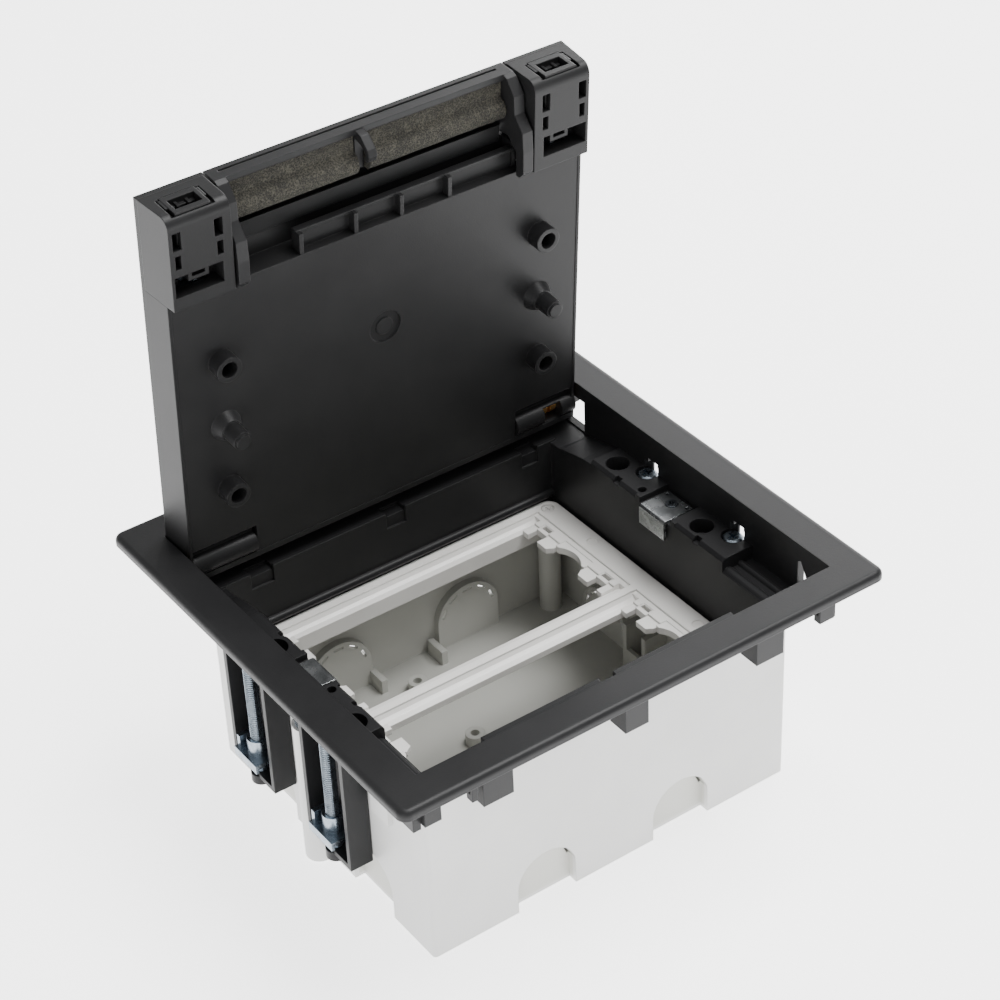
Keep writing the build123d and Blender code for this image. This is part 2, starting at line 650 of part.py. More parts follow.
# inner liner of the lid, with its bosses, tapered pins, finned tray and foam bay floor
with BuildPart() as lid_liner:
    edge_x = lid_x / 2 - skirt
    face_w = lid_in - 0.12
    slab(-edge_x, edge_x, 6.2, block_l0, face_w - 1.4, face_w, base=lid)
    slab(-bump_x0 + 0.3, bump_x0 - 0.3, lid_rear + skirt, 6.4, face_w - 1.4, face_w, base=lid)
    # ribs that stand on the stiffening plate
    for x in (-40.0, -13.0, 13.0, 40.0):
        slab(x - 0.7, x + 0.7, 8.0, block_l0 - 3.3, lid_out + skin + 1.2, face_w - 1.0, base=lid)
    rib_x = lid_x / 2 - 5.7
    for l in (8.0, block_l0 - 3.9):
        slab(-rib_x, rib_x, l - 0.6, l + 0.6, lid_out + skin + 1.2, face_w - 1.0, base=lid)
    # stepped tray with four fins, then the floor and cheeks of the cable bay
    tray_half = bay_half - 0.3
    slab(-tray_half, tray_half, block_l0 - 1.2, bay_l0 - 0.1, lid_out + skin, lid_out + skin + 2.2, base=lid)
    slab(-tray_half, tray_half, block_l0 - 1.2, block_l0, lid_out + skin, face_w, base=lid)
    tray_x0, tray_x1 = -25.0, bay_half - 2.9
    tray_l1 = bay_l0 - 1.7
    slab(tray_x0 - 0.6, tray_x1, block_l0 - 0.6, tray_l1, 1.0, 2.2, base=lid)
    slab(tray_x0 - 0.6, tray_x1, tray_l1 - 0.8, tray_l1, 1.0, 3.2, base=lid)
    for x in (tray_x0, -8.0, 6.5, 22.0):
        slab(x - 0.6, x + 0.6, block_l0 - 0.6, tray_l1 - 0.2, 1.6, face_w - 0.3, base=lid)
    for side in (-1, 1):
        cheek_x = bay_half - 2.7
        slab(
            side * cheek_x,
            side * (cheek_x + 1.2),
            block_l0 - 0.6,
            bay_l0 - 0.3,
            lid_out + skin + 1.0,
            2.6,
            base=lid,
        )
    # hollow bosses and tapered pins in two rows
    for side in (-1, 1):
        for l in (23.6, 66.1):
            post(side * 51.6, l, 3.8, face_w - 0.4, 10.0, base=lid)
        with BuildSketch(lid.offset(face_w - 0.2)):
            with Locations((side * 51.4, 44.9)):
                Circle(4.7)
        extrude(amount=3.4, taper=24)
        post(side * 51.4, 44.9, 2.75, face_w + 1.0, 14.0, base=lid)
        post(side * 51.4, 44.9, 2.1, 13.9, 14.6, base=lid)
    for side in (-1, 1):
        for l in (23.6, 66.1):
            post(side * 51.6, l, 2.4, face_w, 11.0, Mode.SUBTRACT, base=lid)
    # shallow round gate mark in the middle
    post(0, 55.7, 5.0, face_w - 0.7, face_w + 1, Mode.SUBTRACT, base=lid)
    post(0, 55.7, 2.7, face_w - 0.8, face_w - 0.25, base=lid)
export(lid_liner, "lid_liner")

# latch housings: a rounded block in each free corner of the lid
for side, name in ((-1, "left"), (1, "right")):
    with BuildPart() as latch_housing:
        base_w = lid_out + skin
        slab(side * block_x0, side * lid_x / 2, block_l0, lid_free, base_w, block_high, base=lid)
        corner = latch_housing.edges().filter_by(Axis.X).sort_by(
            lambda e: (e.center() - lid.from_local_coords((side * latch_x, lid_free, block_high))).length
        )[0]
        fillet(corner, radius=3.2)
        draft_sides(block_l0 - 1, lid_free + 1, (side,))
        # straight bore for the slider, open at the free edge and to the finger window
        x0, x1 = side * (latch_x - latch_half - 0.25), side * (latch_x + latch_half + 0.25)
        slab(
            x0,
            x1,
            lid_free - 22.4,
            lid_free + 1,
            latch_low - 0.25,
            latch_high + 0.25,
            Mode.SUBTRACT,
            base=lid,
        )
        slab(x0, x1, lid_free - 18.0, lid_free - 6.6, base_w - 1, latch_low, Mode.SUBTRACT, base=lid)
        wing_x = latch_half + wing + 0.4
        slab(
            side * (latch_x - wing_x),
            side * (latch_x + wing_x),
            lid_free - 1.1,
            lid_free + 1,
            -1.0,
            latch_high + 0.25,
            Mode.SUBTRACT,
            base=lid,
        )
        # window and slots on the inner face
        for x0, x1, l0, l1, w in (
            (-6.6, 7.6, 23.8, 17.6, 3.0),
            (4.9, 7.4, 9.6, 4.4, 3.4),
            (5.3, 7.0, 15.3, 11.3, 3.4),
            (-7.2, -4.7, 9.6, 4.4, 3.4),
            (-7.0, -5.2, 15.3, 11.3, 3.4),
        ):
            slab(
                side * (latch_x + x0),
                side * (latch_x + x1),
                lid_free - l0,
                lid_free - l1,
                w,
                block_high + 1,
                Mode.SUBTRACT,
                base=lid,
            )
        # seat for the detent spring, and the side hole for the flap pin
        seat_l = lid_free - 24.6
        slab(
            side * (latch_x - 4.0),
            side * (latch_x + 3.8),
            seat_l,
            seat_l + 2.6,
            -1.0,
            4.6,
            Mode.SUBTRACT,
            base=lid,
        )
        x0, x1 = sorted((side * (block_x0 - 1), side * (block_x0 + 3.0)))
        bar(flap_l, flap_w, 1.0, x0, x1, Mode.SUBTRACT, base=lid)
    export(latch_housing, f"latch_housing_{name}")

    # slider: hollow nose at the free edge, long body and finger tab on the outer face
    with BuildPart() as latch_slider:
        nose = lid_free + 0.1
        low, high = latch_low, latch_high
        tail = lid_free - 17.8
        slab(side * (latch_x - latch_half), side * (latch_x + latch_half), tail, nose, low, high, base=lid)
        wide = latch_half + wing
        slab(side * (latch_x - wide), side * (latch_x + wide), nose - 0.9, nose - 0.1, -0.6, 3.6, base=lid)
        x0, x1 = side * (latch_x - 3.6), side * (latch_x + 3.6)
        slab(x0, x1, tail + 1.0, tail + 8.4, lid_out + 0.15, low + 0.2, base=lid)
        # deep square finger recess in the nose with a small step inside
        x0, x1 = side * (latch_x - 3.9), side * (latch_x + 3.9)
        slab(x0, x1, nose - 3.8, nose + 1, low + 1.9, high - 1.8, Mode.SUBTRACT, base=lid)
        slab(x0, x1, nose - 4.2, nose - 1.8, low + 1.7, low + 3.0, base=lid)
        for x in (latch_x - 1.6, latch_x + 1.6):
            slab(side * (x - 0.4), side * (x + 0.4), nose - 4.2, nose - 1.2, low + 1.7, low + 4.0, base=lid)
        # tab that hangs below the slider, with a slot through it
        x0, x1 = side * (latch_x - 3.2), side * (latch_x + 2.8)
        slab(x0, x1, tail - 3.3, tail + 0.2, high - 2.2, high, base=lid)
        slab(
            x0 + side * 1.1,
            x1 - side * 1.1,
            tail - 2.2,
            tail - 0.9,
            high - 3,
            high + 1,
            Mode.SUBTRACT,
            base=lid,
        )
        for l in (tail + 2.8, tail + 4.7, tail + 6.6):
            slab(
                side * (latch_x - 2.8),
                side * (latch_x + 2.8),
                l - 0.35,
                l + 0.35,
                lid_out - 0.5,
                lid_out + 0.65,
                Mode.SUBTRACT,
                base=lid,
            )
    export(latch_slider, f"latch_slider_{name}")

    # bent wire detent spring under the slider's tail
    with BuildPart() as latch_spring:
        wire_l = seat_l + 0.3
        slab(side * (latch_x - 3.7), side * (latch_x + 3.5), wire_l, wire_l + 0.8, 0.6, 1.4, base=lid)
        for x in (latch_x - 3.7, latch_x + 2.7):
            slab(side * x, side * (x + 0.8), wire_l, wire_l + 2.2, 0.6, 1.4, base=lid)
        slab(side * (latch_x - 1.2), side * (latch_x + 0.2), wire_l, wire_l + 0.8, 0.6, 4.2, base=lid)
    export(latch_spring, f"latch_spring_{name}")

# fixed hinge pin on the left, sliding brass bolt and its spring on the right
with BuildPart() as hinge_pin:
    bar(0, 0, pin_r, -pin_tip, -bump_x0 - 6.0, base=lid)
    chamfer(hinge_pin.faces().sort_by(Axis.X)[0].edges(), length=0.4)
export(hinge_pin, "hinge_pin")

with BuildPart() as hinge_bolt:
    bar(0, 0, bolt_r, bolt_x0, bolt_step, base=lid)
    bar(0, 0, pin_r, bolt_step, pin_tip, base=lid)
    chamfer(hinge_bolt.faces().sort_by(Axis.X)[-1].edges(), length=0.4)
    slab(bolt_step - 4.4, bolt_step - 3.2, -4, 4, 1.4, 5, Mode.SUBTRACT, base=lid)
export(hinge_bolt, "hinge_bolt")

with BuildPart() as bolt_spring:
    spring_x0 = bump_x0 + 1.1
    spring_len = bolt_x0 - spring_x0 - 0.1
    with BuildLine():
        coil = Helix(
            pitch=(spring_len - 0.5) / 3.5,
            height=spring_len - 0.5,
            radius=2.3,
            center=lid.from_local_coords((spring_x0 + 0.25, 0, 0)),
            direction=lid.x_dir,
        )
    with BuildSketch(Plane(origin=coil @ 0, z_dir=coil % 0)):
        Rectangle(0.42, 0.42)
    sweep(path=coil, is_frenet=True)
export(bolt_spring, "bolt_spring")

# cable flap at the free edge, with S-shaped arms at both ends and a divider hook in the middle
flap_half = bay_half - 0.4
with BuildPart() as cable_flap:
    prism(
        [
            (flap_l - 0.4, lid_out),
            (lid_free, lid_out),
            (lid_free, lid_out + 1.8),
            (flap_l - 1.2, lid_out + 1.8),
            (flap_l - 1.2, lid_out + 0.8),
        ],
        -flap_half,
        flap_half,
        base=lid,
    )
    slab(-flap_half, flap_half, lid_free - 1.8, lid_free, lid_out + 1.0, -0.4, base=lid)
    # long groove between the outer edge and the inner bar
    groove_x = flap_half - 1.2
    low = lid_out + 1.7
    slab(-groove_x, groove_x, lid_free - 0.5, lid_free + 1, low, low + 0.8, Mode.SUBTRACT, base=lid)
    for side in (-1, 1):
        x0, x1 = sorted((side * (flap_half - arm_x), side * flap_half))
        prism(
            [
                (flap_l - 1.4, lid_out + 0.6),
                (flap_l, lid_out + 0.4),
                (lid_free, lid_out + 0.4),
                (lid_free, -0.4),
                (lid_free - 0.6, 1.2),
                (lid_free - 4.5, 4.6),
                (lid_free - 10.0, 5.0),
                (flap_l + 2.8, 8.6),
                (flap_l - 3.2, 9.2),
                (flap_l - 9.6, 9.2),
                (flap_l - 11.6, 7.4),
                (flap_l - 11.6, 6.0),
                (flap_l - 4.2, 5.7),
                (flap_l - 0.8, 2.0),
                (flap_l - 1.4, -2.0),
            ],
            x0,
            x1,
            base=lid,
        )
    # divider between the foam strips, with a slender hook above it
    slab(hook_x0, hook_x1, foam_low + 0.6, lid_free - 0.5, lid_out + 1.0, -0.9, base=lid)
    prism(
        [
            (lid_free - 0.4, -1.2),
            (lid_free - 1.0, 2.0),
            (lid_free - 3.8, 5.2),
            (lid_free - 5.6, 5.9),
            (lid_free - 7.3, 5.2),
            (lid_free - 7.6, 3.9),
            (lid_free - 6.6, 3.5),
            (lid_free - 5.8, 4.4),
            (lid_free - 4.8, 3.8),
            (lid_free - 3.4, 1.6),
            (lid_free - 3.0, -1.2),
        ],
        hook_x0,
        hook_x1,
        base=lid,
    )
    for side in (-1, 1):
        x0, x1 = sorted((side * (flap_half - 2.0), side * (flap_half + 0.2)))
        bar(flap_l, flap_w, 0.8, x0, x1, Mode.SUBTRACT, base=lid)
export(cable_flap, "cable_flap")

# pivot pins of the flap
with BuildPart() as flap_pins:
    for side in (-1, 1):
        x0, x1 = sorted((side * (flap_half - 1.7), side * (block_x0 + 2.6)))
        bar(flap_l, flap_w, 0.8, x0, x1, base=lid)
export(flap_pins, "flap_pins")

# two foam strips that close round the cables, thicker in a rolled lip along their lower side
foam_end = flap_half - arm_x - 0.2
for x0, x1, name in ((-foam_end, hook_x0 - 0.2, "left"), (hook_x1 + 0.2, foam_end, "right")):
    with BuildPart() as foam_strip:
        prism(
            [
                (foam_low, lid_out + 2.1),
                (lid_free - 2.1, lid_out + 2.1),
                (lid_free - 2.1, -0.8),
                (lid_free - 6.8, -0.8),
                (lid_free - 8.2, 1.2),
                (foam_low + 3.2, 2.0),
                (foam_low + 1.2, 1.6),
                (foam_low, 0.2),
            ],
            x0,
            x1,
            base=lid,
        )
    export(foam_strip, f"foam_strip_{name}")
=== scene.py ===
import math

import bmesh
import bpy
from mathutils import Matrix, Vector


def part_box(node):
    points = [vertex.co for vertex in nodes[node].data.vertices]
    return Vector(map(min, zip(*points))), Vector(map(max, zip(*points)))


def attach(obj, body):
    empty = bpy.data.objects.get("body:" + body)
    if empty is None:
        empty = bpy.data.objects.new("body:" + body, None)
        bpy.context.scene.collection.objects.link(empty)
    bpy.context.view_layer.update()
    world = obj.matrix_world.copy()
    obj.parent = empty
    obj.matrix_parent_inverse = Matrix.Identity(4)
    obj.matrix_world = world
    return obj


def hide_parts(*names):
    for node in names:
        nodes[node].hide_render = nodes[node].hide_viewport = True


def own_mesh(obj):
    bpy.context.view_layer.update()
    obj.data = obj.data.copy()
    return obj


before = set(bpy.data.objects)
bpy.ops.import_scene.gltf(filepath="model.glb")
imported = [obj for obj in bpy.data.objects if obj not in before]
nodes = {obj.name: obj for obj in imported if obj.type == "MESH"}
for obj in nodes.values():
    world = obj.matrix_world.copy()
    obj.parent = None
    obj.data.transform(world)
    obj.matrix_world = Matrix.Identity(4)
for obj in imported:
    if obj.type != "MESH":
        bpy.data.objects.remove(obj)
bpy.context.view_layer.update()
print("frame loaded with", len(nodes), "nodes")

# the lid's hinge, and the open lid's own axes: X along the hinge, Y up the lid, Z out of its inner face
hinge = dict(y=0.0562, z=0.0695, lean=4.2)
lidTurn = Matrix.Rotation(math.radians(90 + hinge["lean"]), 4, "X")
lidPlane = Matrix.Translation((0, hinge["y"], hinge["z"])) @ lidTurn


class Output:
    # one node's output; arithmetic on it adds maths nodes to its graph
    def __init__(self, graph, socket):
        self.graph = graph
        self.socket = socket

    def maths(self, operation, *others):
        return self.graph.add("ShaderNodeMath", {"operation": operation}, dict(enumerate((self, *others))))

    def __add__(self, other):
        return self.maths("ADD", other)

    def __radd__(self, other):
        return self.maths("ADD", other)

    def __sub__(self, other):
        return self.maths("SUBTRACT", other)

    def __rsub__(self, other):
        return self.maths("MULTIPLY", -1) + other

    def __mul__(self, other):
        return self.maths("MULTIPLY", other)

    def __rmul__(self, other):
        return self.maths("MULTIPLY", other)

    def __truediv__(self, other):
        return self.maths("DIVIDE", other)

    def __rtruediv__(self, other):
        return self.maths("POWER", -1) * other


class Graph:
    def __init__(self, tree):
        self.tree = tree

    def add(self, kind, settings=None, values=None, out=0):
        item = self.tree.nodes.new(kind)
        for key, value in (settings or {}).items():
            setattr(item, key, value)
        for key, value in (values or {}).items():
            if isinstance(value, Output):
                self.tree.links.new(value.socket, item.inputs[key])
            else:
                item.inputs[key].default_value = value
        return Output(self, item.outputs[out]) if len(item.outputs) else None

    def ramp(self, factor, stops, colours=False):
        found = self.add("ShaderNodeValToRGB", None, {"Fac": factor})
        elements = found.socket.node.color_ramp.elements
        for count, (at, value) in enumerate(stops):
            element = elements[count] if count < 2 else elements.new(at)
            element.position = at
            element.color = (*value, 1) if colours else (value, value, value, 1)
        return found


def place(graph):
    return graph.add("ShaderNodeTexCoord", out="Object")


def noise(graph, where, scale, detail=3.0, rough=0.55):
    return graph.add(
        "ShaderNodeTexNoise", None, {"Vector": where, "Scale": scale, "Detail": detail, "Roughness": rough}
    )


def axis(graph, source, which):
    return graph.add("ShaderNodeSeparateXYZ", None, {0: source}, which)


def vector(graph, x=0.0, y=0.0, z=0.0):
    return graph.add("ShaderNodeCombineXYZ", None, {0: x, 1: y, 2: z})


def mixColours(graph, factor, low, high):
    return graph.add("ShaderNodeMix", {"data_type": "RGBA"}, {0: factor, 6: low, 7: high}, 2)


def blendColours(graph, factor, low, high):
    return mixColours(graph, factor, (*low, 1), (*high, 1))


def roundedBump(graph, radius, strength, distance, height):
    # relief on top of edges that are shaded as if rounded
    edges = graph.add("ShaderNodeBevel", {"samples": 4}, {"Radius": radius})
    values = {"Strength": strength, "Distance": distance, "Height": height, "Normal": edges}
    return graph.add("ShaderNodeBump", None, values)


def finishMaterial(graph, values, normal=None):
    shader = graph.add("ShaderNodeBsdfPrincipled", None, values)
    if normal:
        graph.tree.links.new(normal.socket, shader.socket.node.inputs["Normal"])
    graph.add("ShaderNodeOutputMaterial", None, {"Surface": shader})


def newMaterial(name):
    material = bpy.data.materials.new(name)
    material.use_nodes = True
    material.node_tree.nodes.clear()
    return material, Graph(material.node_tree)


def paintedInsideShade(graph, where, cloud, outer, inside):
    # painted shade for a box's deep inside: walls and floor are painted darker than the outer faces
    # because they catch less light there, and walls and floor get separate painted tones by which way they
    # face
    insideShadeMask = axis(graph, where, 0).maths("ABSOLUTE").maths("LESS_THAN", inside["x"])
    insideShadeMask = insideShadeMask * axis(graph, where, 1).maths("ABSOLUTE").maths("LESS_THAN", inside["y"])
    insideShadeMask = insideShadeMask * axis(graph, where, 2).maths("GREATER_THAN", inside["low"])
    normal = graph.add("ShaderNodeNewGeometry", out=1)
    level = blendColours(graph, axis(graph, normal, 2).maths("ABSOLUTE"), inside["wall"], inside["floor"])
    return mixColours(graph, insideShadeMask * (0.85 + cloud * 0.3), outer, level)


# moulded plastics: slight mottling, a fine grain, and edges that catch the light
mouldedPlastic = dict(cloudScale=38, grainScale=2600, grainDepth=0.0002, edge=0.0004, coatRoughness=0.25)


def plastic(name, dark, light, sheen, grain, glint=0.5, coat=0.0, inside=None):
    material, graph = newMaterial(name)
    where = place(graph)
    cloud = noise(graph, where, mouldedPlastic["cloudScale"], 4)
    speck = noise(graph, where, mouldedPlastic["grainScale"], 2)
    colour = blendColours(graph, graph.ramp(cloud, [(0.35, 0), (0.68, 1)]), dark, light)
    # painted shade on a box's inside, when one is given: darker tones for its walls and floor
    if inside:
        colour = paintedInsideShade(graph, where, cloud, colour, inside)
    values = {
        "Base Color": colour,
        "Roughness": cloud * 0.10 + speck * 0.06 + (sheen - 0.08),
        "Specular IOR Level": glint,
        "Coat Weight": coat,
        "Coat Roughness": mouldedPlastic["coatRoughness"],
    }
    bump = roundedBump(graph, mouldedPlastic["edge"], grain, mouldedPlastic["grainDepth"], speck)
    finishMaterial(graph, values, bump)
    return material


# plated metals: blotches in the plating, and a fine relief with crisp edges
platedMetal = dict(fineScale=5200, reliefDepth=0.0001, edge=0.00012)


def metal(name, low, high, sheen, scale=420, grain=0.08):
    material, graph = newMaterial(name)
    where = place(graph)
    cloud = noise(graph, where, scale, 4)
    fine = noise(graph, where, platedMetal["fineScale"], 2)
    values = {
        "Base Color": blendColours(graph, graph.ramp(cloud, [(0.3, 0), (0.72, 1)]), low, high),
        "Metallic": 1.0,
        "Roughness": cloud * 0.18 + (sheen - 0.05),
    }
    bump = roundedBump(graph, platedMetal["edge"], grain, platedMetal["reliefDepth"], fine * 0.5 + cloud)
    finishMaterial(graph, values, bump)
    return material


# open-cell foam: painted shade darkens the pores and painted highlights pale the struts, with larger
# clouds over them
openFoam = dict(
    cloudScale=260, poreScale=2100, fuzzScale=3800, reliefDepth=0.0006, relief=0.9, roughness=0.95
)


def foam(name, poreShade, middle, strutHighlight):
    material, graph = newMaterial(name)
    where = place(graph)
    cloud = noise(graph, where, openFoam["cloudScale"], 4)
    pores = graph.add(
        "ShaderNodeTexVoronoi", {"feature": "F1"}, {"Vector": where, "Scale": openFoam["poreScale"]}
    )
    fuzz = noise(graph, where, openFoam["fuzzScale"], 3)
    mix = cloud * 0.45 + pores * 0.5 + fuzz * 0.3
    # pore centres painted dark as shade, strut tips painted pale as highlights
    colour = graph.ramp(mix, [(0.28, poreShade), (0.55, middle), (0.85, strutHighlight)], True)
    relief = {
        "Strength": openFoam["relief"],
        "Distance": openFoam["reliefDepth"],
        "Height": pores * 0.7 + fuzz * 0.6,
    }
    bump = graph.add("ShaderNodeBump", None, relief)
    finishMaterial(graph, {"Base Color": colour, "Roughness": openFoam["roughness"] - fuzz * 0.05}, bump)
    return material


charcoalFrame = plastic(
    "charcoalFrame", (0.011, 0.011, 0.0116), (0.015, 0.015, 0.0156), sheen=0.40, grain=0.16, glint=0.20
)
charcoalLid = plastic(
    "charcoalLid", (0.009, 0.009, 0.0094), (0.012, 0.012, 0.0124), sheen=0.42, grain=0.14, glint=0.20
)
charcoalSmall = plastic(
    "charcoalSmall", (0.010, 0.010, 0.0105), (0.014, 0.014, 0.0145), sheen=0.40, grain=0.10, glint=0.20
)
# how far the socket box's painted inside shade reaches, and the painted shade tones of its walls and floor
boxInsideShade = dict(x=0.0590, y=0.0520, low=0.0012, wall=(0.52, 0.52, 0.485), floor=(0.34, 0.34, 0.315))
lightBox = plastic(
    "lightBox", (0.60, 0.60, 0.59), (0.64, 0.64, 0.63), sheen=0.40, grain=0.05, inside=boxInsideShade
)
whiteRail = plastic(
    "whiteRail", (0.74, 0.727, 0.698), (0.80, 0.787, 0.758), sheen=0.22, grain=0.03, coat=0.6
)
zinc = metal("zinc", (0.24, 0.285, 0.33), (0.38, 0.43, 0.48), sheen=0.24)
# painted shade: the screw heads' zinc is darkened far below plated zinc, standing in for the shade on
# their domed, recessed heads
zincHead = metal("zincHead", (0.05, 0.058, 0.066), (0.30, 0.33, 0.36), sheen=0.20, scale=700, grain=0.7)
zincSheet = metal("zincSheet", (0.34, 0.36, 0.37), (0.62, 0.64, 0.65), sheen=0.22, scale=170, grain=0.05)
brass = metal("brass", (0.80, 0.42, 0.12), (0.95, 0.60, 0.24), sheen=0.42)
foamOlive = foam("foamOlive", (0.004, 0.0038, 0.0028), (0.014, 0.013, 0.0093), (0.055, 0.051, 0.038))
print("materials made")


def useMaterial(names, material):
    for name in names:
        data = nodes[name].data
        data.materials.clear()
        data.materials.append(material)


useMaterial(["surround_frame"], charcoalFrame)
useMaterial(["socket_box"], lightBox)
useMaterial(["module_frame"], whiteRail)
useMaterial(
    ["lid_cover", "lid_liner", "latch_housing_left", "latch_housing_right"], charcoalLid
)
useMaterial(["latch_slider_left", "latch_slider_right", "cable_flap"], charcoalSmall)
useMaterial(["hinge_pin", "hinge_bolt"], brass)
useMaterial(
    [name for name in nodes if name.startswith(("clamp_", "latch_spring"))]
    + ["column_inserts", "lid_stiffener", "flap_pins", "bolt_spring"],
    zinc,
)
useMaterial(["ledge_clip_left", "ledge_clip_right"], zincSheet)
useMaterial(["box_screws"], zincHead)
useMaterial(["module_screws"], whiteRail)
useMaterial(["foam_strip_left", "foam_strip_right"], foamOlive)


def newObject(name, mesh, body, slot, *replaced):
    # piece that moves with a body and stands in place of the CAD nodes it replaces
    item = bpy.data.objects.new(name, mesh)
    bpy.context.scene.collection.objects.link(item)
    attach(item, body)
    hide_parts(*replaced)
    return item


def nodeGroup(name, inputs):
    # geometry tree with named inputs
    tree = bpy.data.node_groups.new(name, "GeometryNodeTree")
    for label, kind in inputs.items():
        tree.interface.new_socket(label, in_out="INPUT", socket_type=kind)
    tree.interface.new_socket("Geometry", in_out="OUTPUT", socket_type="NodeSocketGeometry")
    graph = Graph(tree)
    given = tree.nodes.new("NodeGroupInput")
    return graph, {label: Output(graph, given.outputs[label]) for label in inputs}


def closeGroup(graph, shape, material):
    real = graph.add("GeometryNodeRealizeInstances", None, {"Geometry": shape})
    painted = graph.add("GeometryNodeSetMaterial", None, {"Geometry": real, "Material": material})
    graph.add("NodeGroupOutput", None, {"Geometry": painted})


def grow(name, graph, values):
    # plain mesh made by a geometry tree, with its named inputs set
    carrier = bpy.data.objects.new(name, bpy.data.meshes.new(name))
    bpy.context.scene.collection.objects.link(carrier)
    modifier = carrier.modifiers.new("nodes", "NODES")
    modifier.node_group = graph.tree
    for item in graph.tree.interface.items_tree:
        if item.in_out == "INPUT" and item.name in values:
            modifier[item.identifier] = values[item.name]
    shape = carrier.evaluated_get(bpy.context.evaluated_depsgraph_get())
    mesh = bpy.data.meshes.new_from_object(shape)
    bpy.data.objects.remove(carrier)
    mesh.name = name
    return mesh


def tidyMesh(mesh, extra=None, matrix=None):
    # mesh moved to its place, then joined by another, with all faces turned outwards
    work = bmesh.new()
    work.from_mesh(mesh)
    if matrix:
        work.transform(matrix)
    if extra:
        work.from_mesh(extra)
    bmesh.ops.recalc_face_normals(work, faces=work.faces)
    work.to_mesh(mesh)
    work.free()
    return mesh


# clamp screws: a rolled thread on each shaft, under the CAD's own recessed head
clampScrew = dict(
    radius=0.00198,
    depth=0.00036,
    pitch=0.0007,
    bottom=0.0137,
    top=0.0619,
    endTaper=1.4,  # thread depths that the shaft narrows by at its ends
    around=24,
    perTurn=8,
    weld=0.000002,
    headWeld=0.000001,
)

threadGraph, port = nodeGroup(
    "rolledThread",
    {
        "Radius": "NodeSocketFloat",
        "Depth": "NodeSocketFloat",
        "Pitch": "NodeSocketFloat",
        "Length": "NodeSocketFloat",
        "Around": "NodeSocketInt",
        "Rings": "NodeSocketInt",
    },
)
sheet = threadGraph.add(
    "GeometryNodeMeshGrid",
    None,
    {"Size X": 1.0, "Size Y": 1.0, "Vertices X": port["Around"] + 1, "Vertices Y": port["Rings"]},
)
spot = threadGraph.add("GeometryNodeInputPosition")
turnPart = axis(threadGraph, spot, 0) + 0.5
height = (axis(threadGraph, spot, 1) + 0.5) * port["Length"]
ridge = ((height / port["Pitch"] - turnPart).maths("FRACT") * 2 - 1).maths("ABSOLUTE")
endGap = height.maths("MINIMUM", port["Length"] - height)
endRadius = port["Radius"] - port["Depth"] * clampScrew["endTaper"]
radius = (port["Radius"] - port["Depth"] * ridge).maths("MINIMUM", endRadius + endGap)
angle = turnPart * (2 * math.pi)
onShaft = vector(threadGraph, radius * angle.maths("COSINE"), radius * angle.maths("SINE"), height)
wrapped = threadGraph.add("GeometryNodeSetPosition", None, {"Geometry": sheet, "Position": onShaft})
endCap = threadGraph.add(
    "GeometryNodeMeshCircle", {"fill_type": "NGON"}, {"Vertices": port["Around"], "Radius": endRadius}
)
farEnd = vector(threadGraph, z=port["Length"])
farCap = threadGraph.add("GeometryNodeTransform", None, {"Geometry": endCap, "Translation": farEnd})
capped = threadGraph.add("GeometryNodeJoinGeometry")
for piece in (farCap, endCap, wrapped):
    threadGraph.tree.links.new(piece.socket, capped.socket.node.inputs[0])
welded = threadGraph.add(
    "GeometryNodeMergeByDistance", None, {"Geometry": capped, "Distance": clampScrew["weld"]}
)
closeGroup(threadGraph, welded, zinc)
shaftLength = clampScrew["top"] - clampScrew["bottom"]
threadMesh = grow(
    "clampThread",
    threadGraph,
    {
        "Radius": clampScrew["radius"],
        "Depth": clampScrew["depth"],
        "Pitch": clampScrew["pitch"],
        "Length": shaftLength,
        "Around": clampScrew["around"],
        "Rings": int(shaftLength / clampScrew["pitch"] * clampScrew["perTurn"]),
    },
)


def screwHead(name):
    # the CAD's screw from the shaft's top up, with the second material of the finished screw
    head = bmesh.new()
    head.from_mesh(nodes[name].data)
    bmesh.ops.remove_doubles(head, verts=head.verts, dist=clampScrew["headWeld"])
    everything = head.verts[:] + head.edges[:] + head.faces[:]
    bmesh.ops.bisect_plane(
        head, geom=everything, plane_co=(0, 0, clampScrew["top"]), plane_no=(0, 0, 1), clear_inner=True
    )
    bmesh.ops.holes_fill(head, edges=[edge for edge in head.edges if edge.is_boundary])
    for face in head.faces:
        face.material_index = 1
    mesh = bpy.data.meshes.new(name + "_head")
    head.to_mesh(mesh)
    head.free()
    return mesh


for corner in ("left_rear", "left_front", "right_rear", "right_front"):
    name = "clamp_screw_" + corner
    low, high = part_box(name)
    centre = (low + high) / 2
    shaft = Matrix.Translation((centre.x, centre.y, clampScrew["bottom"]))
    mesh = tidyMesh(threadMesh.copy(), screwHead(name), shaft)
    mesh.materials.append(zincHead)
    newObject("threaded_" + name, mesh, name, "zinc_steel", name)
print("clamp screws made")

# coil spring behind the hinge bolt; the real one closes up as the bolt is pulled back, while this one
# keeps its rest length and moves with the lid
coilSpring = dict(
    radius=0.0023,
    wire=0.00024,
    turns=4.5,
    start=0.0459,
    length=0.0044,
    seat=0.0457,
    keep=0.38,  # share of its length that is left with the bolt back
    sidesPerTurn=28,
    sidesOfWire=10,
)

